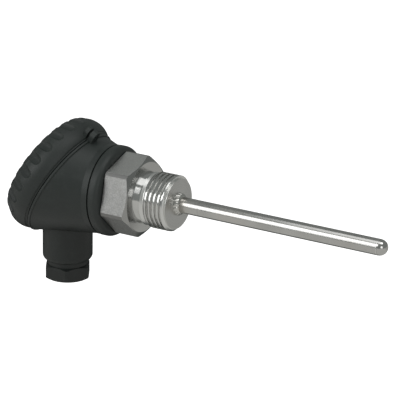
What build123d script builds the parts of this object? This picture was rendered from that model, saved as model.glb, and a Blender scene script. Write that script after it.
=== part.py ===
"""Immersion temperature sensor: plastic connection head, screw-in fitting and closed tube.

Millimetres. The origin is the centre of the fitting's sealing face. +X runs along the probe to its tip,
+Z is up, the cable gland points down and the cap looks back and up.
"""
import os
from math import cos, radians, sin, tan

from build123d import *

# Screw-in fitting
hex_across_flats = 27.0
hex_length = 10.4
hex_turn = 12.9
hex_chamfer_angle = 30.0
hex_corner_radius = 15.2
hex_face_radius = 13.1
thread_radius = 20.955 / 2
thread_length = 11.0
thread_chamfer = 1.1
thread_run_out = 0.7
undercut_radius = 9.3
undercut_length = 3.0
spigot_length = 8.7
spigot_wall = 3.0
spigot_to_posts = 1.8
spigot_chamfer = 0.6
spigot_bore_end = -9.0
spigot_clearance = 0.05

# Tube and its contents
tube_radius = 3.0
tube_wall = 0.5
tube_seat_step = 0.2
tube_inner_end = -11.0
immersion_length = 100.0
tip_plug_spigot = 2.5
bead_radius = 4.2
bead_length = 1.9
insulator_radius = 2.2
insulator_bore_radius = 0.45
insulator_bore_offset = 1.25
insulator_end = -13.0
element_radius = 1.9
element_length = 15.0
lead_radius = 0.4
lead_bend = 1.2
lead_grip = 3.0
potting_end = -18.6
bond_gap = 0.05

# Neck of the head
neck_wall = 2.55
collar_step = 0.1
gasket_width = 3.0
neck_start = -17.6
groove_centre = -14.9
groove_width = 0.7
groove_depth = 0.7
collar_edge_radius = 2.1
gasket_thickness = 1.2
gasket_squeeze_gap = 0.3
gasket_side_gap = 0.1

# Cap and the head's rim, about the tilted axis
cap_tilt = 29.0
cap_centre_x = -34.4
cap_centre_z = -0.1
rim_band = 1.1
rim_edge = 0.4
seam_gap = 0.9
cap_radius = 23.85
cap_rim_inset = 1.05
cap_shoulder_inset = 1.55
cap_edge_inset = 2.35
cap_top_inset = 3.35
cap_wall = 2.2
body_rim_inset = 0.4
body_wall_inset = 0.55
cap_belly_height = 3.9
cap_height = 11.3
cap_top_wall = 2.3
cap_spigot_wall = 2.0
cap_spigot_height = 4.6
cap_thread_clearance = 0.08
cap_shoulder_height = 9.1
cap_edge_height = 10.5
flute_count = 24
flute_start = 0.0
flute_radius = 2.1
flute_low_proud = 0.65
flute_low_height = 7.0
flute_high_inset = 1.95
flute_high_height = 12.0
seal_thickness = 1.2
seal_width = 1.9
face_clearance = 0.05
lug_width = 4.0
lug_reach = 3.2
lug_sink = 0.8
lug_thickness = 1.5
body_lug_thickness = 2.1
lug_shift = 2.0
lug_hole_radius = 0.75

# Cable gland
gland_x = cap_centre_x
boss_radius = 9.4
boss_bottom = -30.5
boss_top = -14.0
boss_edge_height = 2.2
boss_edge_inset = 1.1
gland_thread_radius = 7.7
gland_thread_clearance = 0.05
gland_seat_z = -20.6
gland_entry_radius = 5.0
grommet_clearance = 0.1
washer_clearance = 0.15
grommet_length = 4.2
grommet_hole_radius = 3.4
washer_thickness = 0.9
washer_hole_radius = 4.4
nut_across_flats = 16.0
nut_hex_top = -32.4
nut_bottom = -37.8
nut_bore_radius = 4.6
nut_chamfer = 0.6
nut_corner_radius = 8.95

# Terminal block
chamber_floor = -19.2
post_height = 3.0
post_radius = 2.1
post_edge_gap = 0.1
block_side_gap = 0.3
post_spacing = 23.6
block_thickness = 3.0
block_hole_radius = 3.4
barrier_height = 6.0
barrier_length = 22.0
barrier_wall = 1.6
barrier_pitch = 8.4
clamp_width = 5.6
clamp_length = 7.0
clamp_height = 4.6
clamp_wire_radius = 1.0
clamp_wire_depth = 2.2
clamp_start = 3.8
clamp_screw_pitch = 3.8
clamp_screw_radius = 0.9
clamp_head_radius = 1.45
clamp_head_height = 1.2
block_screw_radius = 1.25
block_screw_depth = 5.5
screw_clearance = 0.03
block_head_radius = 2.0
block_head_height = 1.7
screw_slot = 0.5
screw_slot_depth = 0.6

# Places worked out from the sizes
tilt = radians(cap_tilt)
cap_direction = Vector(-cos(tilt), 0, sin(tilt))
cap_radial = Vector(sin(tilt), 0, cos(tilt))
cap_centre = Vector(cap_centre_x, 0, cap_centre_z)
cap_axis = Axis(cap_centre, cap_direction)
cap_section = Plane(origin=cap_centre, x_dir=cap_radial, z_dir=(0, -1, 0))
gland_axis = Axis((gland_x, 0, 0), (0, 0, -1))
gland_section = Plane(origin=(gland_x, 0, 0), x_dir=(1, 0, 0), z_dir=(0, -1, 0))
rim_radius = cap_radius - cap_rim_inset
body_rim_radius = rim_radius - body_rim_inset
body_wall_radius = body_rim_radius - body_wall_inset
cap_thread_radius = rim_radius - cap_wall
cap_shoulder_radius = cap_radius - cap_shoulder_inset
cap_edge_radius = cap_radius - cap_edge_inset
cap_top_radius = cap_radius - cap_top_inset
flute_low_radius = cap_radius + flute_low_proud
flute_high_radius = cap_radius - flute_high_inset
block_radius = post_spacing / 2 + post_radius + post_edge_gap
chamber_floor_radius = block_radius + block_side_gap
neck_radius = chamber_floor_radius + neck_wall
collar_radius = neck_radius + collar_step
spigot_radius = post_spacing / 2 - spigot_to_posts
spigot_bore_radius = spigot_radius - spigot_wall
gasket_outer_radius = spigot_radius + gasket_width
rim_top = -seam_gap / 2
cap_rim = seam_gap / 2
lug_root = cap_thread_radius - lug_sink
lug_end = rim_radius + lug_reach - lug_width / 2
thread_end = undercut_length + thread_length
collar_front = -hex_length - gasket_squeeze_gap
gasket_face = -hex_length - gasket_thickness
block_back = chamber_floor - post_height
block_front = block_back - block_thickness
clamp_front = block_front - clamp_height
wire_x = block_front - clamp_wire_depth
clamp_y = barrier_pitch / 2
lead_x = wire_x + clamp_wire_radius - lead_radius - bond_gap
clamp_z = clamp_start + clamp_length / 2
clamp_front_to_lead = lead_x - lead_radius - clamp_front
seal_bottom = cap_spigot_height + face_clearance
seal_top = seal_bottom + seal_thickness
seal_seat = seal_top + face_clearance
cap_bore_radius = cap_thread_radius + cap_thread_clearance
tube_seat_radius = tube_radius - tube_seat_step
tube_bore_radius = tube_seat_radius + bond_gap
tube_shoulder = thread_end + bead_length + bond_gap
tube_end = immersion_length - tube_radius
plug_back = tube_end - tip_plug_spigot
element_front = plug_back - bond_gap
element_back = element_front - element_length
insulator_front = element_back - bond_gap
grommet_top = gland_seat_z - face_clearance
grommet_bottom = grommet_top - grommet_length
washer_top = grommet_bottom - face_clearance
washer_bottom = washer_top - washer_thickness
nut_top = washer_bottom - face_clearance


def cap_plane(height):
    """Plane across the cap's axis, height above the seam, with its x direction radial and up."""
    return Plane(origin=cap_centre + cap_direction * height, x_dir=cap_radial, z_dir=cap_direction)


def cross_plane(x, towards=-1):
    """Plane across the probe's axis at x, facing back to the head or forward to the tip."""
    return Plane(origin=(x, 0, 0), x_dir=(0, 0, 1), z_dir=(towards, 0, 0))


def ring_profile(points):
    """Closed outline through points, for a turned ring."""
    with BuildLine() as outline:
        Polyline(*points, close=True)
    return outline.line


def save(part, name):
    part.label = name
    export_step(part, f"parts/{name}.step")


os.makedirs("parts", exist_ok=True)

# Head: tapered housing between the tilted rim and the round neck, with chamber, spigot and gland boss
with BuildPart() as head_body:
    with BuildSketch(cap_plane(rim_top - rim_band)):
        Circle(body_wall_radius)
    with BuildSketch(cross_plane(neck_start)):
        Circle(neck_radius)
    loft()
    with BuildSketch(cap_plane(rim_top - rim_band)):
        Circle(body_rim_radius)
    extrude(amount=rim_band)
    fillet(head_body.edges().group_by(SortBy.LENGTH)[-1], rim_edge)
    with BuildSketch(Plane.XZ):
        with BuildLine():
            groove_back = groove_centre - groove_width / 2
            groove_front = groove_centre + groove_width / 2
            Polyline((neck_start, 0), (neck_start, neck_radius), (groove_back, neck_radius),
                     (groove_back, neck_radius - groove_depth), (groove_front, neck_radius - groove_depth),
                     (groove_front, collar_radius), (collar_front - collar_edge_radius, collar_radius))
            ThreePointArc((collar_front - collar_edge_radius, collar_radius),
                          (collar_front - collar_edge_radius * (1 - sin(radians(45))),
                           collar_radius - collar_edge_radius * (1 - cos(radians(45)))),
                          (collar_front, collar_radius - collar_edge_radius))
            Polyline((collar_front, collar_radius - collar_edge_radius), (collar_front, 0), (neck_start, 0))
        make_face()
    revolve(axis=Axis.X)
    with BuildSketch(gland_section):
        with BuildLine():
            edge_start = boss_bottom + boss_edge_height
            Polyline((0, boss_bottom), (0, boss_top), (boss_radius, boss_top), (boss_radius, edge_start))
            ThreePointArc((boss_radius, edge_start),
                          (boss_radius - 0.3 * boss_edge_inset, boss_bottom + 0.35 * boss_edge_height),
                          (boss_radius - boss_edge_inset, boss_bottom))
            Line((boss_radius - boss_edge_inset, boss_bottom), (0, boss_bottom))
        make_face()
    revolve(axis=gland_axis)
    with BuildSketch(cap_plane(rim_top)):
        Circle(cap_thread_radius)
    extrude(amount=cap_spigot_height - rim_top)
    with BuildSketch(cap_plane(rim_top - body_lug_thickness)):
        with Locations(((lug_root + lug_end) / 2, -lug_shift)):
            Rectangle(lug_end - lug_root, lug_width)
        with Locations((lug_end, -lug_shift)):
            Circle(lug_width / 2)
    extrude(amount=body_lug_thickness)
    with BuildSketch(cap_plane(rim_top - body_lug_thickness)):
        with Locations((lug_end, -lug_shift)):
            Circle(lug_hole_radius)
    extrude(amount=body_lug_thickness, mode=Mode.SUBTRACT)
    with BuildSketch(cap_plane(rim_top - rim_band)):
        Circle(cap_thread_radius - cap_spigot_wall)
    with BuildSketch(cross_plane(chamber_floor)):
        Circle(chamber_floor_radius)
    loft(mode=Mode.SUBTRACT)
    with BuildSketch(cap_plane(rim_top - rim_band)):
        Circle(cap_thread_radius - cap_spigot_wall)
    extrude(amount=cap_spigot_height - rim_top + rim_band + 1, mode=Mode.SUBTRACT)
    with BuildSketch(cross_plane(chamber_floor, 1)):
        Circle(spigot_radius + spigot_clearance)
    extrude(amount=collar_front - chamber_floor, mode=Mode.SUBTRACT)
    with BuildSketch(cross_plane(gasket_face, 1)):
        Circle(gasket_outer_radius)
    extrude(amount=collar_front - gasket_face, mode=Mode.SUBTRACT)
    with BuildSketch(Plane(origin=(gland_x, 0, boss_bottom), z_dir=(0, 0, 1))):
        Circle(gland_thread_radius)
    extrude(amount=gland_seat_z - boss_bottom, mode=Mode.SUBTRACT)
    with BuildSketch(Plane(origin=(gland_x, 0, gland_seat_z), z_dir=(0, 0, 1))):
        Circle(gland_entry_radius)
    extrude(amount=boss_top - gland_seat_z + 2, mode=Mode.SUBTRACT)
    with BuildSketch(cross_plane(chamber_floor)):
        with Locations((0, post_spacing / 2), (0, -post_spacing / 2)):
            Circle(post_radius)
    extrude(amount=post_height)
    with BuildSketch(cross_plane(block_back, 1)):
        with Locations((0, post_spacing / 2), (0, -post_spacing / 2)):
            Circle(block_screw_radius + screw_clearance)
    extrude(amount=block_screw_depth, mode=Mode.SUBTRACT)
save(head_body.part, "head_body")

# Pocket for one finger flute: a round-ended bar laid along the cap's rounded edge
flute_low = cap_centre + cap_radial * flute_low_radius + cap_direction * flute_low_height
flute_high = cap_centre + cap_radial * flute_high_radius + cap_direction * flute_high_height
flute_run = (flute_high - flute_low).length
flute_axis = Axis(flute_low, flute_high - flute_low)
with BuildPart() as flute_pocket:
    with BuildSketch(Plane(origin=flute_low, x_dir=flute_high - flute_low, z_dir=(0, -1, 0))):
        with BuildLine():
            Line((flute_run + flute_radius, 0), (-flute_radius, 0))
            RadiusArc((-flute_radius, 0), (0, flute_radius), flute_radius)
            Line((0, flute_radius), (flute_run, flute_radius))
            RadiusArc((flute_run, flute_radius), (flute_run + flute_radius, 0), flute_radius)
        make_face()
    revolve(axis=flute_axis)

# Screw cap with its fluted edge, its bore for the spigot and its seal lug
with BuildPart() as lid:
    with BuildSketch(cap_section):
        with BuildLine():
            Polyline((0, cap_height), (0, cap_rim), (rim_radius, cap_rim))
            ThreePointArc((rim_radius, cap_rim), (cap_radius, cap_belly_height),
                          (cap_shoulder_radius, cap_shoulder_height))
            ThreePointArc((cap_shoulder_radius, cap_shoulder_height), (cap_edge_radius, cap_edge_height),
                          (cap_top_radius, cap_height))
            Line((cap_top_radius, cap_height), (0, cap_height))
        make_face()
    revolve(axis=cap_axis)
    with BuildSketch(cap_plane(cap_rim)):
        with Locations(((lug_root + lug_end) / 2, -lug_shift)):
            Rectangle(lug_end - lug_root, lug_width)
        with Locations((lug_end, -lug_shift)):
            Circle(lug_width / 2)
    extrude(amount=lug_thickness)
    with BuildSketch(cap_plane(cap_rim)):
        with Locations((lug_end, -lug_shift)):
            Circle(lug_hole_radius)
    extrude(amount=lug_thickness, mode=Mode.SUBTRACT)
    with BuildSketch(cap_plane(cap_rim)):
        Circle(cap_bore_radius)
    extrude(amount=seal_seat - cap_rim, mode=Mode.SUBTRACT)
    with BuildSketch(cap_plane(seal_seat)):
        Circle(cap_thread_radius - cap_spigot_wall)
    extrude(amount=cap_height - cap_top_wall - seal_seat, mode=Mode.SUBTRACT)
    for index in range(flute_count):
        add(flute_pocket.part.rotate(cap_axis, 360 * (index + flute_start) / flute_count), mode=Mode.SUBTRACT)
save(lid.part, "lid")

# Flat ring pressed between the spigot's rim and the cap
with BuildPart() as lid_seal:
    with BuildSketch(cap_plane(seal_bottom)):
        Circle(cap_thread_radius)
        Circle(cap_thread_radius - seal_width, mode=Mode.SUBTRACT)
    extrude(amount=seal_thickness)
save(lid_seal.part, "lid_seal")

# Gland's pressure screw: hexagon below, plain threaded shank above
with BuildPart() as gland_nut:
    with BuildSketch(Plane(origin=(gland_x, 0, nut_bottom), x_dir=(1, 0, 0), z_dir=(0, 0, 1))):
        RegularPolygon(nut_across_flats / 2, 6, major_radius=False)
    extrude(amount=nut_hex_top - nut_bottom)
    with BuildSketch(gland_section):
        nut_edge = nut_corner_radius - nut_chamfer / tan(radians(30))
        with BuildLine():
            Polyline((0, nut_bottom), (nut_edge, nut_bottom), (nut_corner_radius, nut_bottom + nut_chamfer),
                     (nut_corner_radius, nut_hex_top - nut_chamfer), (nut_edge, nut_hex_top), (0, nut_hex_top),
                     close=True)
        make_face()
    revolve(axis=gland_axis, mode=Mode.INTERSECT)
    with BuildSketch(Plane(origin=(gland_x, 0, nut_hex_top), x_dir=(1, 0, 0), z_dir=(0, 0, 1))):
        Circle(gland_thread_radius - gland_thread_clearance)
    extrude(amount=nut_top - nut_hex_top)
    with BuildSketch(Plane(origin=(gland_x, 0, nut_bottom), x_dir=(1, 0, 0), z_dir=(0, 0, 1))):
        Circle(nut_bore_radius)
    extrude(amount=nut_top - nut_bottom, mode=Mode.SUBTRACT)
save(gland_nut.part, "gland_nut")

# Washer that keeps the turning nut from dragging the grommet round
with BuildPart() as thrust_washer:
    with BuildSketch(Plane(origin=(gland_x, 0, washer_bottom), z_dir=(0, 0, 1))):
        Circle(gland_thread_radius - washer_clearance)
        Circle(washer_hole_radius, mode=Mode.SUBTRACT)
    extrude(amount=washer_thickness)
save(thrust_washer.part, "thrust_washer")

# Rubber bush round the cable
with BuildPart() as cable_grommet:
    with BuildSketch(Plane(origin=(gland_x, 0, grommet_bottom), z_dir=(0, 0, 1))):
        Circle(gland_thread_radius - grommet_clearance)
        Circle(grommet_hole_radius, mode=Mode.SUBTRACT)
    extrude(amount=grommet_length)
save(cable_grommet.part, "cable_grommet")

# Flat ring between the neck and the hexagon
with BuildPart() as neck_gasket:
    with BuildSketch(cross_plane(gasket_face + face_clearance, 1)):
        Circle(gasket_outer_radius - gasket_side_gap)
        Circle(spigot_radius + gasket_side_gap, mode=Mode.SUBTRACT)
    extrude(amount=gasket_thickness - 2 * face_clearance)
save(neck_gasket.part, "neck_gasket")

# Process fitting: hexagon, undercut, threaded stub and the spigot that plugs into the neck
with BuildPart() as process_fitting:
    with BuildSketch(cross_plane(-hex_length, 1)):
        RegularPolygon(hex_across_flats / 2, 6, major_radius=False, rotation=-hex_turn)
    extrude(amount=hex_length)
    with BuildSketch(Plane.XZ):
        hex_chamfer = (hex_corner_radius - hex_face_radius) * tan(radians(hex_chamfer_angle))
        with BuildLine():
            Polyline((-hex_length, 0), (-hex_length, hex_corner_radius), (-hex_chamfer, hex_corner_radius),
                     (0, hex_face_radius), (0, 0), close=True)
        make_face()
    revolve(axis=Axis.X, mode=Mode.INTERSECT)
    with BuildSketch(Plane.XZ):
        spigot_end = -hex_length - spigot_length
        with BuildLine():
            Polyline((0, 0), (0, undercut_radius), (undercut_length - thread_run_out, undercut_radius),
                     (undercut_length, thread_radius), (thread_end - thread_chamfer, thread_radius),
                     (thread_end, thread_radius - thread_chamfer), (thread_end, 0), close=True)
        make_face()
        with BuildLine():
            Polyline((-hex_length, 0), (-hex_length, spigot_radius), (spigot_end + spigot_chamfer, spigot_radius),
                     (spigot_end, spigot_radius - spigot_chamfer), (spigot_end, 0), close=True)
        make_face()
    revolve(axis=Axis.X)
    with BuildSketch(Plane.XZ):
        with BuildLine():
            Polyline((spigot_end, 0), (spigot_end, spigot_bore_radius), (spigot_bore_end, spigot_bore_radius),
                     (spigot_bore_end, tube_bore_radius), (thread_end, tube_bore_radius), (thread_end, 0),
                     close=True)
        make_face()
    revolve(axis=Axis.X, mode=Mode.SUBTRACT)
save(process_fitting.part, "process_fitting")

# Weld round the tube's root
with BuildPart() as weld_bead:
    with BuildSketch(Plane.XZ):
        with BuildLine():
            bead_end = thread_end + bead_length
            Line((bead_end, tube_bore_radius), (thread_end, tube_bore_radius))
            Line((thread_end, tube_bore_radius), (thread_end, bead_radius))
            ThreePointArc((thread_end, bead_radius),
                          (thread_end + 0.62 * bead_length, tube_radius + 0.62 * (bead_radius - tube_radius)),
                          (bead_end, tube_radius + bond_gap))
            Line((bead_end, tube_radius + bond_gap), (bead_end, tube_bore_radius))
        make_face()
    revolve(axis=Axis.X)
save(weld_bead.part, "weld_bead")

# Closed tube in two pieces: the tube, turned down where it sits in the fitting, and the domed plug in its end
with BuildPart() as sheath_tube:
    with BuildSketch(cross_plane(tube_shoulder, 1)):
        Circle(tube_radius)
    extrude(amount=tube_end - tube_shoulder)
    with BuildSketch(cross_plane(tube_inner_end, 1)):
        Circle(tube_seat_radius)
    extrude(amount=tube_shoulder - tube_inner_end)
    with BuildSketch(cross_plane(tube_inner_end, 1)):
        Circle(tube_radius - tube_wall)
    extrude(amount=tube_end - tube_inner_end, mode=Mode.SUBTRACT)
save(sheath_tube.part, "sheath_tube")

with BuildPart() as tip_plug:
    with BuildSketch(Plane.XZ):
        plug_radius = tube_radius - tube_wall - bond_gap
        dome_radius = tube_radius - bond_gap
        with BuildLine():
            Polyline((immersion_length, 0), (plug_back, 0), (plug_back, plug_radius),
                     (tube_end + bond_gap, plug_radius), (tube_end + bond_gap, dome_radius))
            ThreePointArc((tube_end + bond_gap, dome_radius),
                          (immersion_length - dome_radius * (1 - cos(radians(45))), dome_radius * sin(radians(45))),
                          (immersion_length, 0))
        make_face()
    revolve(axis=Axis.X)
save(tip_plug.part, "tip_plug")

# Sensing element and the four-bore insulator behind it
with BuildPart() as sensing_element:
    with BuildSketch(cross_plane(element_back, 1)):
        Circle(element_radius)
    extrude(amount=element_length)
    fillet(sensing_element.edges(), 0.2)
save(sensing_element.part, "sensing_element")

with BuildPart() as insulator_tube:
    with BuildSketch(cross_plane(insulator_end, 1)):
        Circle(insulator_radius)
        with PolarLocations(insulator_bore_offset, 4, start_angle=45):
            Circle(insulator_bore_radius, mode=Mode.SUBTRACT)
    extrude(amount=insulator_front - insulator_end)
save(insulator_tube.part, "insulator_tube")

# Resin that closes the fitting's rear bore round the tube, the insulator and the leads
with BuildPart() as potting_plug:
    with BuildSketch(cross_plane(potting_end, 1)):
        Circle(spigot_bore_radius - bond_gap)
        with PolarLocations(insulator_bore_offset, 4, start_angle=45):
            Circle(insulator_bore_radius, mode=Mode.SUBTRACT)
    extrude(amount=spigot_bore_end - bond_gap - potting_end)
    with BuildSketch(cross_plane(insulator_end - bond_gap, 1)):
        Circle(insulator_radius + bond_gap)
    extrude(amount=spigot_bore_end - insulator_end, mode=Mode.SUBTRACT)
    with BuildSketch(cross_plane(tube_inner_end - bond_gap, 1)):
        Circle(tube_bore_radius)
    extrude(amount=spigot_bore_end - tube_inner_end, mode=Mode.SUBTRACT)
save(potting_plug.part, "potting_plug")

# Terminal block: disc on the head's two posts, with ribs between the clamps
with BuildPart() as terminal_block:
    with BuildSketch(cross_plane(block_back - face_clearance)):
        Circle(block_radius)
    extrude(amount=block_thickness - face_clearance)
    with BuildSketch(cross_plane(block_front)):
        with Locations((0, 0), (0, barrier_pitch), (0, -barrier_pitch)):
            Rectangle(barrier_length, barrier_wall)
    extrude(amount=barrier_height)
    with BuildSketch(cross_plane(block_back)):
        Circle(block_hole_radius)
        with Locations((0, post_spacing / 2), (0, -post_spacing / 2)):
            Circle(block_screw_radius + bond_gap)
    extrude(amount=block_thickness + barrier_height + 1, mode=Mode.SUBTRACT)
save(terminal_block.part, "terminal_block")

# Slotted screws, made once at the origin with the head's seat at x = 0, then set in place
with BuildPart() as clamp_screw:
    with BuildSketch(cross_plane(0)):
        Circle(clamp_head_radius)
        Rectangle(2 * clamp_head_radius + 1, screw_slot, mode=Mode.SUBTRACT)
    extrude(amount=clamp_head_height)
    with BuildSketch(cross_plane(0)):
        Circle(clamp_head_radius)
    extrude(amount=clamp_head_height - screw_slot_depth)
    with BuildSketch(cross_plane(0, 1)):
        Circle(clamp_screw_radius)
    extrude(amount=clamp_front_to_lead)

with BuildPart() as block_screw:
    with BuildSketch(cross_plane(0)):
        Circle(block_head_radius)
        Rectangle(2 * block_head_radius + 1, screw_slot, mode=Mode.SUBTRACT)
    extrude(amount=block_head_height)
    with BuildSketch(cross_plane(0)):
        Circle(block_head_radius)
    extrude(amount=block_head_height - screw_slot_depth)
    with BuildSketch(cross_plane(0, 1)):
        Circle(block_screw_radius)
    extrude(amount=block_thickness + block_screw_depth - 1)

with BuildPart() as terminal_screws:
    with Locations(*[(clamp_front - face_clearance, side * clamp_y, level * (clamp_z + shift))
                     for side in (1, -1) for level in (1, -1)
                     for shift in (clamp_screw_pitch / 2, -clamp_screw_pitch / 2)]):
        add(clamp_screw.part)
save(terminal_screws.part, "terminal_screws")

with BuildPart() as block_screws:
    with Locations((block_front - face_clearance, post_spacing / 2, 0),
                   (block_front - face_clearance, -post_spacing / 2, 0)):
        add(block_screw.part)
save(block_screws.part, "block_screws")

# Clamps and leads, numbered round the block from the upper one on the gland's left
corners = [(1, 1), (-1, 1), (-1, -1), (1, -1)]
for index, (side, level) in enumerate(corners, 1):
    with BuildPart() as terminal_clamp:
        with BuildSketch(cross_plane(block_front - bond_gap)):
            with Locations((level * clamp_z, side * clamp_y)):
                Rectangle(clamp_length, clamp_width)
        extrude(amount=clamp_height - bond_gap)
        with BuildSketch(Plane(origin=(wire_x, side * clamp_y, level * clamp_start), z_dir=(0, 0, level))):
            Circle(clamp_wire_radius)
        extrude(amount=clamp_length, mode=Mode.SUBTRACT)
        with BuildSketch(cross_plane(clamp_front, 1)):
            for shift in (clamp_screw_pitch / 2, -clamp_screw_pitch / 2):
                with Locations((level * (clamp_z + shift), -side * clamp_y)):
                    Circle(clamp_screw_radius + screw_clearance)
        extrude(amount=wire_x - clamp_front, mode=Mode.SUBTRACT)
    save(terminal_clamp.part, f"terminal_clamp_{index}")

lead_shift = insulator_bore_offset * cos(radians(45))
for index, (side, level) in enumerate(corners, 1):
    with BuildPart() as lead:
        with BuildLine():
            FilletPolyline((insulator_front, side * lead_shift, level * lead_shift),
                           (lead_x, side * lead_shift, level * lead_shift),
                           (lead_x, side * clamp_y, level * lead_shift),
                           (lead_x, side * clamp_y, level * (clamp_start + lead_grip)), radius=lead_bend)
        with BuildSketch(Plane(origin=(insulator_front, side * lead_shift, level * lead_shift), z_dir=(-1, 0, 0))):
            Circle(lead_radius)
        sweep()
    save(lead.part, f"lead_{index}")
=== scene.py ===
"""Immersion temperature sensor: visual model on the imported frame, laid out as an add-on and run as a script."""
from math import cos, pi, radians, sin, sqrt, tan, tau

import bmesh
import bpy
from mathutils import Matrix, Vector


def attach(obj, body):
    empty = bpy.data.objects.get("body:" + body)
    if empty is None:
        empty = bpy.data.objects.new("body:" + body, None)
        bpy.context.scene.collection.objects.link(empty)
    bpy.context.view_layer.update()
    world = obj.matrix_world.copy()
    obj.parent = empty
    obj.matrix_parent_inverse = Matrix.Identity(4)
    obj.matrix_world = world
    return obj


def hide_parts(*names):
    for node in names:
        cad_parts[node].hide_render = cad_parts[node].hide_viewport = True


bl_info = {
    "name": "Immersion temperature sensor",
    "version": (1, 0, 0),
    "blender": (4, 5, 0),
    "location": "View3D > Sidebar > Sensor",
    "description": "Dresses the packed temperature sensor with its thread, finishes and studio",
    "category": "Object",
}

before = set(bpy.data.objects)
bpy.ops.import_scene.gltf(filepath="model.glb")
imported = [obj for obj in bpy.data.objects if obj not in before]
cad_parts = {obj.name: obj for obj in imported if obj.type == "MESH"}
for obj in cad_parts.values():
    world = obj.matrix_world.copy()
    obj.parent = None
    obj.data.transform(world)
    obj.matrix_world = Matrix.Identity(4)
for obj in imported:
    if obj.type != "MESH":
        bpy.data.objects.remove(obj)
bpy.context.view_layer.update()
MM = 0.001

# Places that the solids fix, from the sealing face along the probe and out from its axis
HEX_LENGTH = 10.4 * MM
HEX_CORNER = 15.2 * MM
RING_RADIUS = 13.1 * MM
CHAMFER_SLOPE = tan(radians(30))
UNDERCUT_RADIUS = 9.3 * MM
UNDERCUT_END = 3.0 * MM
STUB_END = 14.0 * MM
TUBE_END = 97.0 * MM

# Picture frame
FRAME_PIXELS = 400
SENSOR_WIDTH = 36.0

# Area lights: name, place, aim, size and power
LIGHTS = (
    ("front_strip", (-0.61, -0.62, 0.300), (-0.61, 0.0, 0.0), (0.80, 0.42), 1.65),
    ("top_strip", (0.045, -0.04, 0.33), (0.045, 0.0, 0.0), (0.32, 0.20), 0.19),
    ("side_strip", (0.24, 0.01, 0.34), (0.24, 0.01, 0.0), (0.13, 0.17), 0.17),
    ("key", (-0.35, -0.85, 0.75), (-0.02, 0, 0), (0.55, 0.55), 1.6),
    ("fill", (0.88, -0.64, 0.33), (0, 0, 0), (0.50, 0.50), 1.0),
)


# Property groups

class SensorThread(bpy.types.PropertyGroup):
    pitch: bpy.props.FloatProperty(
        name="Pitch", description="Distance between the stub's thread crests",
        default=1.814 * MM, unit="LENGTH", precision=5)
    crest: bpy.props.FloatProperty(
        name="Crest radius", description="Radius over the stub's thread",
        default=10.4775 * MM, unit="LENGTH", precision=5)
    depth: bpy.props.FloatProperty(
        name="Depth", description="Depth of the stub's thread",
        default=1.162 * MM, unit="LENGTH", precision=5)
    start: bpy.props.FloatProperty(
        name="Start", description="Where the thread begins, from the sealing face",
        default=4.25 * MM, unit="LENGTH", precision=5)
    end: bpy.props.FloatProperty(
        name="End", description="Where the thread runs out, from the sealing face",
        default=13.3 * MM, unit="LENGTH", precision=5)
    foot: bpy.props.FloatProperty(
        name="Ridge foot", description="Width of the ridge at its root, as a share of the pitch",
        default=0.99, min=0.0, max=1.0)
    top: bpy.props.FloatProperty(
        name="Ridge top", description="Width of the ridge at its crest, as a share of the pitch",
        default=0.50, min=0.0, max=1.0)
    rounding: bpy.props.FloatProperty(
        name="Ridge rounding", description="Radius of the ridge's edges, as a share of the pitch",
        default=0.07, min=0.0, max=0.5)
    flare: bpy.props.FloatProperty(
        name="Undercut flare", description="Radius of the undercut where it meets the ring",
        default=9.85 * MM, unit="LENGTH", precision=5)


class SensorWeld(bpy.types.PropertyGroup):
    bead_reach: bpy.props.FloatProperty(
        name="Bead reach", description="How far the weld bead spreads over the stub's end face",
        default=1.2 * MM, unit="LENGTH", precision=5)
    bead_length: bpy.props.FloatProperty(
        name="Bead length", description="How far the weld bead runs along the tube",
        default=1.9 * MM, unit="LENGTH", precision=5)
    bead_bulge: bpy.props.FloatProperty(
        name="Bead bulge", description="Rise of the bead over a plain cone",
        default=0.30 * MM, unit="LENGTH", precision=5)
    ripple: bpy.props.FloatProperty(
        name="Ripple height", description="Height of the ripples round the bead",
        default=0.11 * MM, unit="LENGTH", precision=5)


class SensorCap(bpy.types.PropertyGroup):
    tilt: bpy.props.FloatProperty(
        name="Tilt", description="Lean of the cap's axis from the probe's axis",
        default=radians(29.0), subtype="ANGLE")
    centre: bpy.props.FloatVectorProperty(
        name="Centre", description="Where the cap's seam crosses its axis",
        default=(-34.4 * MM, 0.0, -0.1 * MM), subtype="XYZ", unit="LENGTH", size=3, precision=5)


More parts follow.
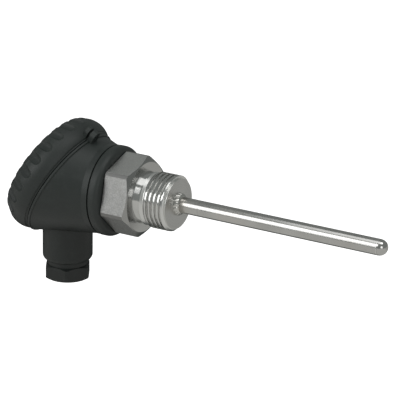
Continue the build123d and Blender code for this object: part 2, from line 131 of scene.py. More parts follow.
class SensorFinish(bpy.types.PropertyGroup):
    plastic: bpy.props.FloatVectorProperty(
        name="Head plastic", description="Colour of the moulded head, cap and gland",
        default=(0.023, 0.029, 0.027), subtype="COLOR", size=3, min=0, max=1)
    steel: bpy.props.FloatVectorProperty(
        name="Fitting steel", description="Colour of the turned steel",
        default=(0.675, 0.675, 0.662), subtype="COLOR", size=3, min=0, max=1)
    blasted: bpy.props.FloatVectorProperty(
        name="Blasted flats", description="Colour of the hexagon's blasted flats",
        default=(0.475, 0.475, 0.468), subtype="COLOR", size=3, min=0, max=1)
    tube: bpy.props.FloatVectorProperty(
        name="Tube steel", description="Colour of the satin tube",
        default=(0.60, 0.595, 0.58), subtype="COLOR", size=3, min=0, max=1)
    rubber: bpy.props.FloatVectorProperty(
        name="Seal rubber", description="Colour of the seals and the cable bush",
        default=(0.030, 0.030, 0.031), subtype="COLOR", size=3, min=0, max=1)
    washer: bpy.props.FloatVectorProperty(
        name="Washer plastic", description="Colour of the washer in the gland",
        default=(0.70, 0.68, 0.62), subtype="COLOR", size=3, min=0, max=1)
    block: bpy.props.FloatVectorProperty(
        name="Block plastic", description="Colour of the terminal block",
        default=(0.62, 0.60, 0.53), subtype="COLOR", size=3, min=0, max=1)
    brass: bpy.props.FloatVectorProperty(
        name="Clamp brass", description="Colour of the wire clamps",
        default=(0.76, 0.60, 0.31), subtype="COLOR", size=3, min=0, max=1)
    zinc: bpy.props.FloatVectorProperty(
        name="Screw zinc", description="Colour of the screws",
        default=(0.62, 0.61, 0.58), subtype="COLOR", size=3, min=0, max=1)
    resin: bpy.props.FloatVectorProperty(
        name="Resin", description="Colour of the potting resin",
        default=(0.030, 0.030, 0.034), subtype="COLOR", size=3, min=0, max=1)
    red: bpy.props.FloatVectorProperty(
        name="Red leads", description="Colour of the first pair of leads",
        default=(0.50, 0.03, 0.02), subtype="COLOR", size=3, min=0, max=1)
    white: bpy.props.FloatVectorProperty(
        name="White leads", description="Colour of the second pair of leads",
        default=(0.76, 0.74, 0.68), subtype="COLOR", size=3, min=0, max=1)


class SensorStudio(bpy.types.PropertyGroup):
    azimuth: bpy.props.FloatProperty(
        name="Azimuth", description="How far the probe turns away from the picture's plane",
        default=radians(30.948), subtype="ANGLE")
    elevation: bpy.props.FloatProperty(
        name="Elevation", description="How far the camera looks down",
        default=radians(19.141), subtype="ANGLE")
    roll: bpy.props.FloatProperty(
        name="Roll", description="Camera roll", default=radians(0.91), subtype="ANGLE")
    distance: bpy.props.FloatProperty(
        name="Distance", description="Depth of the sealing face in front of the camera",
        default=1.110114, unit="LENGTH", precision=4)
    focal_pixels: bpy.props.FloatProperty(
        name="Focal length", description="Focal length in pixels of a 400 pixel frame",
        default=3028.433)
    origin_x: bpy.props.FloatProperty(
        name="Origin across", description="Column of the sealing face's centre in a 400 pixel frame",
        default=146.011)
    origin_y: bpy.props.FloatProperty(
        name="Origin down", description="Row of the sealing face's centre in a 400 pixel frame",
        default=197.064)
    floor: bpy.props.FloatProperty(
        name="Floor", description="Height of the floor below the probe's axis",
        default=-0.120, unit="LENGTH")
    floor_half: bpy.props.FloatProperty(
        name="Floor reach", description="Half the width of the floor", default=6.0, unit="LENGTH")
    room: bpy.props.FloatProperty(
        name="Room light", description="Strength of the even room light", default=0.30)
    room_mirrored: bpy.props.FloatProperty(
        name="Mirrored room", description="Strength of the room as bright metal mirrors it",
        default=0.24)


# Shader expressions

class Wire:
    """A node socket that takes part in Python arithmetic."""

    def __init__(self, paint, socket):
        self.paint = paint
        self.socket = socket

    def _math(self, operation, *values):
        return self.paint.node("ShaderNodeMath", {"operation": operation}, dict(enumerate(values)))

    def __add__(self, other):
        return self._math("ADD", self, other)

    def __radd__(self, other):
        return self._math("ADD", other, self)

    def __sub__(self, other):
        return self._math("SUBTRACT", self, other)

    def __rsub__(self, other):
        return self._math("SUBTRACT", other, self)

    def __mul__(self, other):
        return self._math("MULTIPLY", self, other)

    def __rmul__(self, other):
        return self._math("MULTIPLY", other, self)

    def __lt__(self, other):
        return self._math("LESS_THAN", self, other)

    def __gt__(self, other):
        return self._math("GREATER_THAN", self, other)

    def __abs__(self):
        return self._math("ABSOLUTE", self)

    def root(self):
        return self._math("SQRT", self)

    def sine(self):
        return self._math("SINE", self)

    def limit(self):
        return self.paint.node("ShaderNodeClamp", {}, {"Value": self})

    def ramp(self, low, high, first=0.0, last=1.0):
        """Smooth step from first at low to last at high."""
        return self.paint.node(
            "ShaderNodeMapRange", {"interpolation_type": "SMOOTHSTEP", "clamp": True},
            {"Value": self, "From Min": low, "From Max": high, "To Min": first, "To Max": last})


class Paint:
    """Node tree of one finish."""

    def __init__(self, name):
        self.material = bpy.data.materials.new(name)
        self.material.use_nodes = True
        self.tree = self.material.node_tree
        self.tree.nodes.clear()
        self.output = self.tree.nodes.new("ShaderNodeOutputMaterial")

    def node(self, kind, settings, inputs, output=0):
        made = self.tree.nodes.new(kind)
        for key, value in settings.items():
            setattr(made, key, value)
        for key, value in inputs.items():
            socket = made.inputs[key]
            if isinstance(value, Wire):
                self.tree.links.new(value.socket, socket)
            else:
                socket.default_value = value
        return Wire(self, made.outputs[output])

    def place(self):
        return self.node("ShaderNodeTexCoord", {}, {}, "Object")

    def axes(self, vector):
        split = self.tree.nodes.new("ShaderNodeSeparateXYZ")
        self.tree.links.new(vector.socket, split.inputs[0])
        return [Wire(self, out) for out in split.outputs]

    def join(self, x, y, z):
        return self.node("ShaderNodeCombineXYZ", {}, {0: x, 1: y, 2: z})

    def noise(self, vector, scale, detail=3.0, rough=0.5):
        return self.node(
            "ShaderNodeTexNoise", {},
            {"Vector": vector, "Scale": scale, "Detail": detail, "Roughness": rough})

    def cells(self, vector, scale):
        return self.node("ShaderNodeTexVoronoi", {}, {"Vector": vector, "Scale": scale})

    def blend(self, factor, first, second):
        return self.node("ShaderNodeMix", {"data_type": "RGBA"}, {0: factor, 6: first, 7: second}, 2)

    def bump(self, height, distance, strength=1.0, normal=None):
        inputs = {"Height": height, "Distance": distance, "Strength": strength}
        if normal:
            inputs["Normal"] = normal
        return self.node("ShaderNodeBump", {}, inputs)

    def surface(self, shader):
        """Lead a shader to the material's output."""
        self.tree.links.new(shader.socket, self.output.inputs["Surface"])
        return self.material

    def finish(self, **inputs):
        names = {"base": "Base Color", "rough": "Roughness", "metal": "Metallic",
                 "normal": "Normal", "level": "Specular IOR Level"}
        values = {names[key]: value for key, value in inputs.items()}
        return self.surface(self.node("ShaderNodeBsdfPrincipled", {}, values))


def tone(colour, factor=1.0):
    """Colour with its alpha, made darker or lighter by a factor."""
    return (colour[0] * factor, colour[1] * factor, colour[2] * factor, 1.0)


# Finishes

def moulded_plastic(name, colour, grain=1.0, gloss=0.47, mottle=0.16, low=1.0):
    """Matte moulded plastic: fine spark-eroded grain, faint flow marks and rubbed, slightly greyer high spots."""
    paint = Paint(name)
    place = paint.place()
    flow = paint.noise(place, 55, 3, 0.55)
    dust = paint.noise(place, 420, 4, 0.6)
    fine = paint.noise(place, 3800, 2, 0.5)
    speck = paint.cells(place, 2600).ramp(0.05, 0.22, 1.0, 0.0)
    factor = (flow.ramp(0.35, 0.7) * mottle + dust.ramp(0.45, 0.75) * 0.12 + speck * 0.10).limit()

    # Painted shade: the lower part of the moulding is painted a darker tone, down to the factor low at the bottom
    z = paint.axes(place)[2]
    light = z.ramp(-30 * MM, 10 * MM, 0.0, 1.0)
    plain = paint.blend(light, tone(colour, low), tone(colour))
    rubbed = tone((colour[0] * 1.9 + 0.010, colour[1] * 1.85 + 0.012, colour[2] * 1.8 + 0.011))
    base = paint.blend(factor, plain, rubbed)
    rough = flow.ramp(0.3, 0.7, gloss - 0.03, gloss + 0.06) + dust.ramp(0.4, 0.7, -0.02, 0.03)
    normal = paint.bump(fine, 0.04 * MM * grain, 0.35)
    normal = paint.bump(dust, 0.10 * MM * grain, 0.25, normal)
    normal = paint.bump(flow, 0.30 * MM, 0.12, normal)
    return paint.finish(base=base, rough=rough, normal=normal, level=0.5)


def fitting_steel(name, steel, blasted):
    """One-piece fitting: blasted hexagon flats, turned ring and end face, polished undercut and thread."""
    paint = Paint(name)
    place = paint.place()
    x, y, z = paint.axes(place)
    radius = (y * y + z * z).root()

    # Masks of the fitting's surfaces
    cone = RING_RADIUS - x * (1.0 / CHAMFER_SLOPE)
    behind_face = (x < -0.02 * MM) * (x > 0.01 * MM - HEX_LENGTH)
    hexagon = behind_face * (radius > RING_RADIUS - 0.2 * MM)
    chamfer = (abs(radius - cone) < 0.06 * MM) * hexagon
    corner = (radius > HEX_CORNER - 0.03 * MM) * hexagon * (1.0 - chamfer)
    flat = hexagon * (1.0 - chamfer) * (1.0 - corner)
    ring = (abs(x) < 0.03 * MM) * (radius > UNDERCUT_RADIUS - 0.3 * MM)
    face = (x > STUB_END - 0.03 * MM)
    turned = (ring + face).limit()
    stub = (x > UNDERCUT_END + 0.1 * MM) * (1.0 - face)
    groove = stub * (1.0 - radius.ramp(10.15 * MM, 10.40 * MM))

    # Blasted grain, with a painted highlight along the hexagon's top edge
    speckle = paint.noise(place, 2500, 3, 0.7)
    speckle_wide = paint.noise(place, 520, 3, 0.6)
    blotch = paint.noise(place, 120, 2, 0.5)
    shade = speckle.ramp(0.32, 0.70) * 0.8 + speckle_wide.ramp(0.3, 0.7) * 0.2
    blast = paint.blend(shade, tone(blasted, 0.72), tone(blasted, 1.18))
    # Painted highlight: the flats are painted lighter along the hexagon's top edge
    blast = paint.blend(z.ramp(10.2 * MM, 11.0 * MM) * 0.35, blast, (1.0, 1.0, 0.97, 1.0))

    # Tool marks of the turned faces, and fine lathe lines on what is polished
    feed = tau / (0.16 * MM)
    marks = (radius * feed + paint.noise(place, 300, 2) * 3.0).sine() * 0.5 + 0.5
    lathe = paint.noise(paint.join(x * 9000.0, radius * 9000.0, 0.0), 1.0, 2, 0.6)
    turned_tone = paint.blend(marks * 0.25 + blotch * 0.6, tone(steel, 0.78), tone(steel, 0.98))

    # Painted reflection and shade: the ring's colour is painted darker at its lower left, where it mirrors the
    # dark head
    lower_left = (z * 0.6 - y * 0.8).ramp(-5.0 * MM, 9.0 * MM, 0.0, 1.0)
    shadow = ring * lower_left * z.ramp(-3.0 * MM, 7.0 * MM, 1.0, 0.0)

    base = paint.blend(blotch.ramp(0.35, 0.7), tone(steel, 0.92), tone(steel, 1.06))
    base = paint.blend(turned, base, turned_tone)
    # Painted reflection and shade on the ring's lower left
    base = paint.blend(shadow * 0.75, base, tone(steel, 0.36))
    base = paint.blend(flat, base, blast)
    base = paint.blend(chamfer, base, tone(steel, 0.62))
    base = paint.blend(corner, base, tone(steel, 0.42))
    # Painted light: the thread's grooves are painted lighter than the steel, lifting their shade
    base = paint.blend(groove * 0.8, base, tone(steel, 1.28))
    rough = lathe.ramp(0.35, 0.65, 0.09, 0.15)
    rough = rough + ring * 0.03 + face * (0.16 + marks * 0.05) + groove * 0.22
    rough = rough + flat * (0.22 + speckle * 0.08) + chamfer * 0.10 + corner * 0.30
    height = speckle * flat + speckle_wide * flat * 0.7
    normal = paint.bump(height, 0.09 * MM, 0.55)
    normal = paint.bump(marks * turned, 0.012 * MM, 0.45, normal)
    normal = paint.bump(lathe * (1.0 - flat), 0.003 * MM, 0.35, normal)
    return paint.finish(base=base, rough=rough, metal=1.0, normal=normal)


def tube_steel(name, colour, rough_low=0.15, rough_high=0.22):
    """Satin drawn tube: fine lines round it, soft blotches, a heat tint by the weld and a bright cut end."""
    paint = Paint(name)
    place = paint.place()
    x, y, z = paint.axes(place)
    lines = paint.noise(paint.join(x * 5200.0, y * 160.0, z * 160.0), 1.0, 3, 0.6)
    blotch = paint.noise(place, 90, 3, 0.5)
    warm = paint.noise(place, 42, 2, 0.5).ramp(0.5, 0.75)
    heat = x.ramp(15.5 * MM, 22.0 * MM, 1.0, 0.0)
    scratch = (abs(x - 23.7 * MM) < 0.10 * MM) * blotch.ramp(0.35, 0.6)
    cut_end = (x > TUBE_END - 0.25 * MM) * (x < TUBE_END + 0.02 * MM)
    base = paint.blend(blotch.ramp(0.3, 0.7), tone(colour, 0.93), tone(colour, 1.06))
    base = paint.blend(heat * 0.35, base, (0.42, 0.36, 0.28, 1.0))
    base = paint.blend(warm * 0.30, base, (0.60, 0.555, 0.525, 1.0))
    base = paint.blend(scratch * 0.45, base, (0.22, 0.21, 0.20, 1.0))
    base = paint.blend(cut_end, base, (0.86, 0.86, 0.84, 1.0))
    rough = lines.ramp(0.3, 0.7, rough_low, rough_high) + blotch * 0.03 + cut_end * 0.08
    normal = paint.bump(lines, 0.003 * MM, 0.5)
    return paint.finish(base=base, rough=rough, metal=1.0, normal=normal)


def weld_steel(name):
    """Bright weld metal with fine uneven scale."""
    paint = Paint(name)
    place = paint.place()
    blotch = paint.noise(place, 900, 3, 0.6)
    scale = paint.noise(place, 2600, 2, 0.5)
    base = paint.blend(scale * 0.4 + blotch * 0.5, (0.50, 0.49, 0.46, 1.0), (0.88, 0.87, 0.84, 1.0))
    normal = paint.bump(scale * 0.4 + blotch, 0.14 * MM, 0.5)
    return paint.finish(base=base, rough=blotch.ramp(0.3, 0.7, 0.10, 0.22), metal=1.0, normal=normal)


def machined_metal(name, colour, rough=0.28):
    """Small machined parts: uneven dull sheen with fine marks."""
    paint = Paint(name)
    place = paint.place()
    fine = paint.noise(place, 2400, 3, 0.6)
    blotch = paint.noise(place, 260, 2, 0.5)
    base = paint.blend(blotch.ramp(0.3, 0.7), tone(colour, 0.82), tone(colour, 1.05))
    sheen = fine.ramp(0.3, 0.7, rough - 0.06, rough + 0.08)
    return paint.finish(base=base, rough=sheen, metal=1.0, normal=paint.bump(fine, 0.02 * MM, 0.4))


def soft_rubber(name, colour):
    """Moulded rubber with a pale bloom in patches."""
    paint = Paint(name)
    place = paint.place()
    fine = paint.noise(place, 1600, 3, 0.6)
    bloom = paint.noise(place, 180, 3, 0.6)
    base = paint.blend(bloom.ramp(0.4, 0.8) * 0.4, tone(colour), tone(colour, 2.2))
    sheen = bloom.ramp(0.3, 0.7, 0.62, 0.78)
    return paint.finish(base=base, rough=sheen, normal=paint.bump(fine, 0.04 * MM, 0.5), level=0.35)


def fired_ceramic(name):
    """Unglazed ceramic, off-white with faint stains."""
    paint = Paint(name)
    place = paint.place()
    fine = paint.noise(place, 1900, 3, 0.6)
    stain = paint.noise(place, 140, 2, 0.5)
    base = paint.blend(stain.ramp(0.35, 0.75) * 0.4, (0.80, 0.77, 0.69, 1.0), (0.66, 0.60, 0.50, 1.0))
    sheen = fine.ramp(0.3, 0.7, 0.48, 0.62)
    return paint.finish(base=base, rough=sheen, normal=paint.bump(fine, 0.03 * MM, 0.4))


def wire_insulation(name, colour):
    """Smooth extruded insulation, slightly uneven."""
    paint = Paint(name)
    place = paint.place()
    wave = paint.noise(place, 600, 2, 0.5)
    base = paint.blend(wave.ramp(0.3, 0.7) * 0.5, tone(colour), tone(colour, 0.72))
    sheen = wave.ramp(0.3, 0.7, 0.30, 0.42)
    return paint.finish(base=base, rough=sheen, normal=paint.bump(wave, 0.03 * MM, 0.4))


# Mesh helpers

def add_object(name, data):
    """Object on the scene's own collection."""
    made = bpy.data.objects.new(name, data)
    bpy.context.scene.collection.objects.link(made)
    return made


def dress(node, material):
    """Give a CAD node's object its finish."""
    target = bpy.data.objects[node]
    target.data.materials.clear()
    target.data.materials.append(material)
    return target


def merged_copy(node, name):
    """Closed copy of a CAD node's mesh, with its doubles merged."""
    mesh = bpy.data.objects[node].data.copy()
    mesh.name = name
    made = add_object(name, mesh)
    for layer in [item for item in mesh.attributes if item.name in ("custom_normal", "sharp_edge", "sharp_face")]:
        mesh.attributes.remove(layer)
    work = bmesh.new()
    work.from_mesh(mesh)
    bmesh.ops.remove_doubles(work, verts=work.verts, dist=0.001 * MM)
    work.to_mesh(mesh)
    work.free()
    return made


def smooth_by_angle(target, angle):
    """Smooth shading with sharp edges kept where faces meet at more than the angle."""
    mesh = target.data
    work = bmesh.new()
    work.from_mesh(mesh)
    for face in work.faces:
        face.smooth = True
    for edge in work.edges:
        edge.smooth = len(edge.link_faces) == 2 and edge.calc_face_angle(0.0) < angle
    work.to_mesh(mesh)
    work.free()


def reach(vertex):
    """Distance of a vertex from the probe's axis."""
    return sqrt(vertex.co.y ** 2 + vertex.co.z ** 2)


def stretch(vertex, factor):
    """Move a vertex out from the probe's axis, or in."""
    vertex.co.y *= factor
    vertex.co.z *= factor


def turned_ring(name, centre, axis, profile, count, wave=None):
    """Ring turned about an axis from a closed profile of radius and height, in millimetres."""
    first = axis.cross(Vector((0, 1, 0))).normalized()
    second = axis.cross(first)
    points = []
    faces = []
    size = len(profile)
    for step in range(count):
        angle = tau * step / count
        out = cos(angle) * first + sin(angle) * second
        for index, (radius, height) in enumerate(profile):
            if wave:
                radius += wave(angle, index)
            points.append(centre + out * (radius * MM) + axis * (height * MM))
        here = step * size
        ahead = (step + 1) % count * size
        for index in range(size):
            other = (index + 1) % size
            faces.append((here + index, here + other, ahead + other, ahead + index))
    mesh = bpy.data.meshes.new(name)
    mesh.from_pydata(points, [], faces)
    made = add_object(name, mesh)
    work = bmesh.new()
    work.from_mesh(mesh)
    bmesh.ops.recalc_face_normals(work, faces=work.faces)
    work.to_mesh(mesh)
    work.free()
    smooth_by_angle(made, radians(30))
    return made


def weld_ripples(sizes):
    """Rippled weld bead in place of the plain one."""
    steps = 9
    tube_radius, hidden_radius, face = 3.0, 2.84, 14.0
    reach_out, length, bulge, height = (value / MM for value in (
        sizes.bead_reach, sizes.bead_length, sizes.bead_bulge, sizes.ripple))
    lean = 0.63
    arc = []
    for index in range(steps + 1):
        share = index / steps
        rise = bulge * sin(pi * share)
        arc.append((tube_radius + reach_out * (1 - share) + rise, face + length * share + rise * lean))

    def wave(angle, index):
        """Stacked ripples, and a slow and a fast unevenness that die away toward the tube."""
        share = (index - 1) / steps
        if not 0 <= share < 1:
            return 0.0
        ripple = sin(19 * angle + 5.0 * share + 1.3 * sin(3 * angle)) * sin(pi * (0.12 + 0.8 * share))
        uneven = 0.07 * sin(4 * angle + 0.7) + 0.04 * sin(31 * angle + 9 * share)
        return height * ripple + uneven * (1 - share)

    profile = [(hidden_radius, face)] + arc + [(hidden_radius, face + length)]
    bead = turned_ring("weld_ripples", Vector((0, 0, 0)), Vector((1, 0, 0)), profile, 288, wave)
    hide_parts("weld_bead")
    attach(bead, "sensor")
    return bead


# Geometry Nodes tree of the stub's thread

def thread_tree():
    """Right-hand helix that carries a rounded ridge, laid along the probe's axis."""
    tree = bpy.data.node_groups.new("stub_thread_tree", "GeometryNodeTree")
    tree.is_modifier = True
    for name in ("Pitch", "Crest", "Depth", "Start", "Length", "Foot", "Top", "Rounding"):
        tree.interface.new_socket(name, in_out="INPUT", socket_type="NodeSocketFloat")
    tree.interface.new_socket("Finish", in_out="INPUT", socket_type="NodeSocketMaterial")
    tree.interface.new_socket("Geometry", in_out="OUTPUT", socket_type="NodeSocketGeometry")
    inputs = tree.nodes.new("NodeGroupInput").outputs
    output = tree.nodes.new("NodeGroupOutput")

    def node(kind, settings, values):
        made = tree.nodes.new(kind)
        for key, value in settings.items():
            setattr(made, key, value)
        for key, value in values.items():
            if isinstance(value, bpy.types.NodeSocket):
                tree.links.new(value, made.inputs[key])
            else:
                made.inputs[key].default_value = value
        return made.outputs[0]

    def maths(operation, first, second):
        return node("ShaderNodeMath", {"operation": operation}, {0: first, 1: second})

    turns = maths("DIVIDE", inputs["Length"], inputs["Pitch"])
    middle = maths("SUBTRACT", inputs["Crest"], maths("MULTIPLY", inputs["Depth"], 0.5))
    helix = node("GeometryNodeCurveSpiral", {}, {
        "Resolution": 96, "Rotations": turns, "Start Radius": middle, "End Radius": middle,
        "Height": inputs["Length"], "Reverse": True})
    upright = node("GeometryNodeSetCurveNormal", {"mode": "Z_UP"}, {"Curve": helix})
    ridge = node("GeometryNodeCurvePrimitiveQuadrilateral", {"mode": "TRAPEZOID"}, {
        "Height": inputs["Depth"], "Offset": 0.0,
        "Bottom Width": maths("MULTIPLY", inputs["Pitch"], inputs["Foot"]),
        "Top Width": maths("MULTIPLY", inputs["Pitch"], inputs["Top"])})
    rounded = node("GeometryNodeFilletCurve", {"mode": "POLY"}, {
        "Curve": ridge, "Count": 2, "Radius": maths("MULTIPLY", inputs["Pitch"], inputs["Rounding"])})
    swept = node("GeometryNodeCurveToMesh", {}, {
        "Curve": upright, "Profile Curve": rounded, "Fill Caps": True})
    laid = node("GeometryNodeTransform", {}, {
        "Geometry": swept, "Rotation": (0.0, pi / 2, 0.0),
        "Translation": node("ShaderNodeCombineXYZ", {}, {0: inputs["Start"]})})
    real = node("GeometryNodeRealizeInstances", {}, {"Geometry": laid})
    done = node("GeometryNodeSetMaterial", {}, {"Geometry": real, "Material": inputs["Finish"]})
    tree.links.new(done, output.inputs[0])
    return tree


def set_inputs(modifier, values):
    """Set a modifier's inputs by their sockets' identifiers."""
    for item in modifier.node_group.interface.items_tree:
        if item.item_type == "SOCKET" and item.in_out == "INPUT" and item.name in values:
            modifier[item.identifier] = values[item.name]


def cut_stub(body, sizes):
    """Bring the plain stub down to the thread's root, and flare the undercut toward the ring."""
    root = sizes.crest - sizes.depth
    thread_end = 13.5 * MM
    shoulder = 4.1 * MM
    for vertex in body.data.vertices:
        x = vertex.co.x
        radius = reach(vertex)
        if UNDERCUT_END - 0.1 * MM < x < thread_end and radius > root:
            stretch(vertex, root / radius)
            if x < UNDERCUT_END + 0.9 * MM:
                vertex.co.x = shoulder
        elif UNDERCUT_END - 0.1 * MM < x < UNDERCUT_END + 0.1 * MM:
            vertex.co.x = shoulder - 0.15 * MM
        elif abs(x) < 0.02 * MM and abs(radius - UNDERCUT_RADIUS) < 0.05 * MM:
            stretch(vertex, sizes.flare / UNDERCUT_RADIUS)
    smooth_by_angle(body, radians(20))


def stub_thread(context, sizes, material):
    """Plain mesh of the thread, run in and chamfered at its ends."""
    host = add_object("stub_thread_host", bpy.data.meshes.new("stub_thread_host"))
    modifier = host.modifiers.new("thread", "NODES")
    modifier.node_group = thread_tree()
    set_inputs(modifier, {
        "Pitch": sizes.pitch, "Crest": sizes.crest, "Depth": sizes.depth, "Start": sizes.start,
        "Length": sizes.end - sizes.start, "Foot": sizes.foot, "Top": sizes.top,
        "Rounding": sizes.rounding, "Finish": material})
    context.view_layer.update()
    mesh = bpy.data.meshes.new_from_object(host.evaluated_get(context.evaluated_depsgraph_get()))
    mesh.name = "stub_thread"
    host.modifiers.clear()
    bpy.data.objects.remove(host)
    if not mesh.vertices:
        raise RuntimeError("the thread came out empty")
    thread = add_object("stub_thread", mesh)

    root = sizes.crest - sizes.depth
    run_in, run_in_slope = 3.7 * MM, 0.9
    chamfer = STUB_END - 1.12 * MM
    least = 8.6 * MM
    work = bmesh.new()
    work.from_mesh(mesh)
    for vertex in work.verts:
        x = vertex.co.x
        radius = reach(vertex)
        limit = max(min(root + (x - run_in) * run_in_slope, sizes.crest - (x - chamfer), sizes.crest), least)
        if radius > limit:
            stretch(vertex, limit / radius)
    bmesh.ops.recalc_face_normals(work, faces=work.faces)
    work.to_mesh(mesh)
    work.free()
    smooth_by_angle(thread, radians(50))
    return thread


# Operators

class SENSOR_OT_fitting(bpy.types.Operator):
    """Dress the screw-in fitting and cut its thread"""
    bl_idname = "sensor.fitting"
    bl_label = "Fitting"

    def execute(self, context):
        sizes = context.scene.sensor_thread
        finish = context.scene.sensor_finish
        material = fitting_steel("fitting_steel", finish.steel, finish.blasted)
        body = merged_copy("process_fitting", "fitting_turned")
        body.data.materials.clear()
        body.data.materials.append(material)
        cut_stub(body, sizes)
        thread = stub_thread(context, sizes, material)
        for piece in (body, thread):
            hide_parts("process_fitting")
            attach(piece, "sensor")
        return {"FINISHED"}


class SENSOR_OT_head(bpy.types.Operator):
    """Dress the moulded head, cap and gland"""
    bl_idname = "sensor.head"
    bl_label = "Head"

    def execute(self, context):
        sizes = context.scene.sensor_cap
        finish = context.scene.sensor_finish
        # low=0.42 paints shade on the head's plastic toward its bottom
        plastic = moulded_plastic("head_plastic", finish.plastic, low=0.42)
        for node in ("head_body", "lid", "gland_nut"):
            dress(node, plastic)
        rubber = soft_rubber("seal_rubber", finish.rubber)
        for node in ("lid_seal", "cable_grommet", "neck_gasket"):
            dress(node, rubber)

        # Small lip that the cap's edge turns in over the seam
        axis = Vector((-cos(sizes.tilt), 0, sin(sizes.tilt)))
        inner, edge, top = 20.95, 22.62, 0.5
        profile = [(inner, -0.22), (22.1, -0.22), (22.2, 0.1), (edge, 0.43), (edge - 0.02, top), (inner, top)]
        lip = turned_ring("seam_lip", Vector(sizes.centre), axis, profile, 192)
        lip.data.materials.append(plastic)
        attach(lip, "cap")
        dress("thrust_washer", moulded_plastic("washer_plastic", finish.washer, 0.5, 0.42, 0.08))
        return {"FINISHED"}


class SENSOR_OT_probe(bpy.types.Operator):
    """Dress the tube, its tip, its weld and what is inside"""
    bl_idname = "sensor.probe"
    bl_label = "Probe"

    def execute(self, context):
        finish = context.scene.sensor_finish
        dress("sheath_tube", tube_steel("tube_steel", finish.tube))
        dress("tip_plug", tube_steel("tip_steel", finish.tube, 0.05, 0.09))
        weld = weld_ripples(context.scene.sensor_weld)
        weld.data.materials.append(weld_steel("weld_steel"))
        ceramic = fired_ceramic("ceramic")
        dress("sensing_element", ceramic)
        dress("insulator_tube", ceramic)
        dress("potting_plug", moulded_plastic("resin", finish.resin, 0.4, 0.25, 0.1))
        return {"FINISHED"}


class SENSOR_OT_terminals(bpy.types.Operator):
    """Dress the terminal block, its clamps, screws and leads"""
    bl_idname = "sensor.terminals"
    bl_label = "Terminals"

    def execute(self, context):
        finish = context.scene.sensor_finish
        dress("terminal_block", moulded_plastic("block_plastic", finish.block, 0.6, 0.40, 0.10))
        brass = machined_metal("clamp_brass", finish.brass, 0.26)
        zinc = machined_metal("screw_steel", finish.zinc, 0.30)
        dress("terminal_screws", zinc)
        dress("block_screws", zinc)
        red = wire_insulation("lead_red", finish.red)
        white = wire_insulation("lead_white", finish.white)
        for index, material in enumerate((red, red, white, white), 1):
            dress(f"terminal_clamp_{index}", brass)
            dress(f"lead_{index}", material)
        return {"FINISHED"}


class SENSOR_OT_stage(bpy.types.Operator):
    """Set the floor, the soft lights and the camera"""
    bl_idname = "sensor.stage"
    bl_label = "Stage"

    def execute(self, context):
        scene = context.scene
        studio = scene.sensor_studio
        scene.view_settings.view_transform = "Standard"
        half = studio.floor_half
        corners = [(-half, -half), (half, -half), (half, half), (-half, half)]
        mesh = bpy.data.meshes.new("floor")
        mesh.from_pydata([(x, y, studio.floor) for x, y in corners], [], [(0, 1, 2, 3)])
        mesh.materials.append(floor_finish())
        add_object("floor", mesh)
        scene.camera = photo_camera(studio)
        for light in LIGHTS:
            strip_light(*light)
        studio_world(scene, studio)
        return {"FINISHED"}


def photo_camera(studio):
    """Camera that sees the sealing face's centre at its row and column of the picture."""
    right = Vector((cos(studio.azimuth), sin(studio.azimuth), 0))
    toward = Vector((sin(studio.azimuth), -cos(studio.azimuth), 0))
    up = Vector((0, 0, 1))
    back = cos(studio.elevation) * toward + sin(studio.elevation) * up
    lift = -sin(studio.elevation) * toward + cos(studio.elevation) * up
    camera_x = cos(studio.roll) * right + sin(studio.roll) * lift
    camera_y = -sin(studio.roll) * right + cos(studio.roll) * lift
    pixel = studio.distance / studio.focal_pixels
    across = (studio.origin_x - FRAME_PIXELS / 2) * pixel
    down = (studio.origin_y - FRAME_PIXELS / 2) * pixel
    place = back * studio.distance - camera_x * across + camera_y * down
    camera = add_object("camera", bpy.data.cameras.new("camera"))
    camera.matrix_world = Matrix.Translation(place) @ Matrix((camera_x, camera_y, back)).transposed().to_4x4()
    camera.data.sensor_width = SENSOR_WIDTH
    camera.data.lens = studio.focal_pixels * SENSOR_WIDTH / FRAME_PIXELS
    camera.data.clip_start = 0.05
    camera.data.clip_end = 50
    return camera


def floor_finish():
    """White floor that shows plain white and keeps the object's shadow; to bright metal it glows with a painted
    reflection that has painted shade near and behind the object.
    """
    paint = Paint("floor_white")
    path = paint.tree.nodes.new("ShaderNodeLightPath")
    seen = Wire(paint, path.outputs["Is Camera Ray"])
    glossy = Wire(paint, path.outputs["Is Glossy Ray"])
    x, y, z = paint.axes(paint.place())
    # Painted shade in the floor's painted reflection: darker near and behind the object
    near = y.ramp(-0.01, 0.05) * x.ramp(0.0, 0.12, 1.0, 0.0)
    behind = (near + y.ramp(0.08, 0.25) * 0.22).limit()
    mirrored = paint.blend(behind, (0.53, 0.53, 0.51, 1), (0.07, 0.078, 0.075, 1))
    matte = paint.node("ShaderNodeBsdfDiffuse", {}, {"Color": (0.80, 0.795, 0.785, 1)})
    glow = paint.node("ShaderNodeEmission", {}, {"Color": (1, 1, 1, 1), "Strength": seen * 0.92})
    shown = paint.node("ShaderNodeAddShader", {}, {0: matte, 1: glow})
    # Painted reflection: to glossy rays the floor glows with this image
    image = paint.node("ShaderNodeEmission", {}, {"Color": mirrored, "Strength": 1.0})
    return paint.surface(paint.node("ShaderNodeMixShader", {}, {0: glossy, 1: shown, 2: image}))


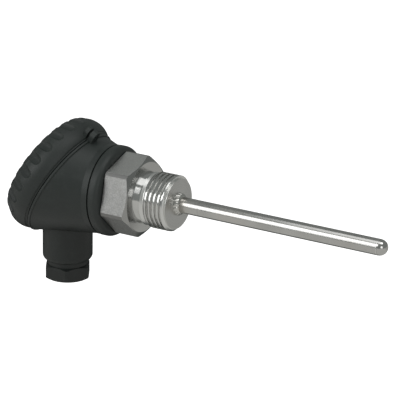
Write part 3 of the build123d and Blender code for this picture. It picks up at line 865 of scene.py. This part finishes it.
def studio_world(scene, studio):
    """Even dim room; plain white where the camera sees it."""
    world = bpy.data.worlds.new("studio")
    scene.world = world
    world.use_nodes = True
    tree = world.node_tree
    tree.nodes.clear()

    def background(colour, strength):
        made = tree.nodes.new("ShaderNodeBackground")
        made.inputs["Color"].default_value = colour
        made.inputs["Strength"].default_value = strength
        return made.outputs[0]

    def mix(factor, first, second):
        made = tree.nodes.new("ShaderNodeMixShader")
        for index, socket in enumerate((factor, first, second)):
            tree.links.new(socket, made.inputs[index])
        return made.outputs[0]

    path = tree.nodes.new("ShaderNodeLightPath").outputs
    room = background((1, 1, 1, 1), studio.room)
    mirrored = background((0.95, 1.0, 0.97, 1), studio.room_mirrored)
    white = background((1, 1, 1, 1), 1.0)
    shown = mix(path["Is Camera Ray"], mix(path["Is Glossy Ray"], room, mirrored), white)
    tree.links.new(shown, tree.nodes.new("ShaderNodeOutputWorld").inputs["Surface"])


def strip_light(name, place, aim, size, power):
    """Rectangular area light that faces its aim, its long side along the probe."""
    light = bpy.data.lights.new(name, "AREA")
    light.shape = "RECTANGLE"
    light.size, light.size_y = size
    light.energy = power
    back = (Vector(place) - Vector(aim)).normalized()
    across = Vector((1, 0, 0))
    across = (across - back * across.dot(back)).normalized()
    turn = Matrix((across, back.cross(across), back)).transposed().to_4x4()
    add_object(name, light).matrix_world = Matrix.Translation(place) @ turn


class SENSOR_PT_panel(bpy.types.Panel):
    """Sizes, colours and steps of the temperature sensor"""
    bl_idname = "SENSOR_PT_panel"
    bl_label = "Temperature sensor"
    bl_space_type = "VIEW_3D"
    bl_region_type = "UI"
    bl_category = "Sensor"

    def draw(self, context):
        for group in groups:
            box = self.layout.box()
            settings = getattr(context.scene, group)
            for name in settings.__annotations__:
                box.prop(settings, name)
        for step in steps:
            self.layout.operator(step.bl_idname)


steps = (SENSOR_OT_fitting, SENSOR_OT_head, SENSOR_OT_probe, SENSOR_OT_terminals, SENSOR_OT_stage)
groups = {
    "sensor_thread": SensorThread,
    "sensor_weld": SensorWeld,
    "sensor_cap": SensorCap,
    "sensor_finish": SensorFinish,
    "sensor_studio": SensorStudio,
}


def register():
    for kind in (*groups.values(), *steps, SENSOR_PT_panel):
        bpy.utils.register_class(kind)
    for name, kind in groups.items():
        setattr(bpy.types.Scene, name, bpy.props.PointerProperty(type=kind))


def unregister():
    for name in groups:
        delattr(bpy.types.Scene, name)
    for kind in reversed((*groups.values(), *steps, SENSOR_PT_panel)):
        bpy.utils.unregister_class(kind)


def main():
    register()
    bpy.ops.sensor.fitting()
    bpy.ops.sensor.head()
    bpy.ops.sensor.probe()
    bpy.ops.sensor.terminals()
    bpy.ops.sensor.stage()


if __name__ == "__main__":
    main()
